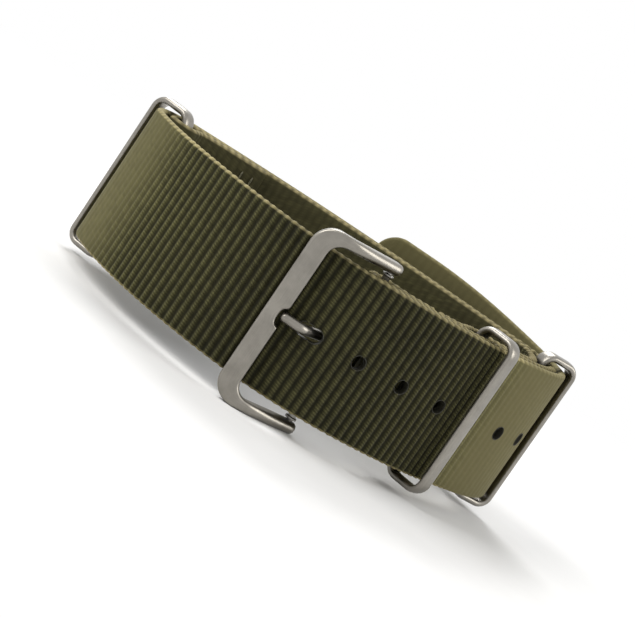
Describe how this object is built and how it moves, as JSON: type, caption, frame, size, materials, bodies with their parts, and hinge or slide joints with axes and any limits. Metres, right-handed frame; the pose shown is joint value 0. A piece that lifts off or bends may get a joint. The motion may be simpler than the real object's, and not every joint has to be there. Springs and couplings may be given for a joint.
{
  "type": "pass-through watch strap",
  "caption": "Woven two-layer pass-through watch strap closed into a wrist loop, with a steel pin buckle on a spring bar and steel keeper rings.",
  "frame": {"origin": "middle of the bottom of the whole part's box, on the plane that the buckle's lower arm stands on", "axes": "+X along the visible front run from the buckle to the curled tail, +Y away from the viewer through the loop, +Z across the strap's width"},
  "size_m": [0.0674, 0.0466, 0.0253],
  "materials": {
    "webbing_outer": "ribbed olive webbing, matte",
    "webbing_inner": "ribbed olive webbing, matte",
    "buckle_steel": "satin",
    "tongue_steel": "satin",
    "spring_bar_steel": "drawn",
    "spring_wire": "drawn",
    "keeper_steel": "satin"
  },
  "bodies": {
    "strap": {"strap_long": "webbing_outer", "strap_short": "webbing_inner"},
    "buckle": {"buckle_frame": "buckle_steel", "spring_bar_tube": "spring_bar_steel", "spring_bar_spring": "spring_wire"},
    "tongue": {"buckle_tongue": "tongue_steel"},
    "tip_upper": {"spring_bar_tip_upper": "spring_bar_steel"},
    "tip_lower": {"spring_bar_tip_lower": "spring_bar_steel"},
    "ring_near": {"keeper_near": "keeper_steel"},
    "ring_middle": {"keeper_middle": "keeper_steel"},
    "ring_end": {"keeper_end": "keeper_steel"}
  },
  "joints": [
    {"name": "buckle_swing", "type": "hinge", "parent": "strap", "child": "buckle", "pos_m": [0.0044, -0.01661, 0.01265], "axis": [0, 0, 1], "range_deg": [0, 4]},
    {"name": "tongue_swing", "type": "hinge", "parent": "buckle", "child": "tongue", "pos_m": [0.0044, -0.01661, 0.01267], "axis": [0, 0, 1], "range_deg": [0, 2]},
    {"name": "tip_upper_push", "type": "slide", "parent": "buckle", "child": "tip_upper", "axis": [0, 0, -1], "range_m": [0, 0.0009], "stiffness_N_per_m": 500, "springref_m": -0.0008, "deforming": ["spring_bar_spring"]},
    {"name": "tip_lower_push", "type": "slide", "parent": "buckle", "child": "tip_lower", "axis": [0, 0, 1], "range_m": [0, 0.0009], "stiffness_N_per_m": 500, "springref_m": -0.0008, "deforming": ["spring_bar_spring"]},
    {"name": "ring_near_tilt", "type": "hinge", "parent": "strap", "child": "ring_near", "pos_m": [0.01877, -0.00628, 0.01285], "axis": [0, 0, 1], "range_deg": [-24, 8]},
    {"name": "ring_middle_tilt", "type": "hinge", "parent": "strap", "child": "ring_middle", "pos_m": [0.02822, 0.01072, 0.0126], "axis": [0, 0, 1], "range_deg": [-28, 2]},
    {"name": "ring_end_tilt", "type": "hinge", "parent": "strap", "child": "ring_end", "pos_m": [-0.02808, 0.00409, 0.01255], "axis": [0, 0, 1], "range_deg": [-16, 16]}
  ]
}
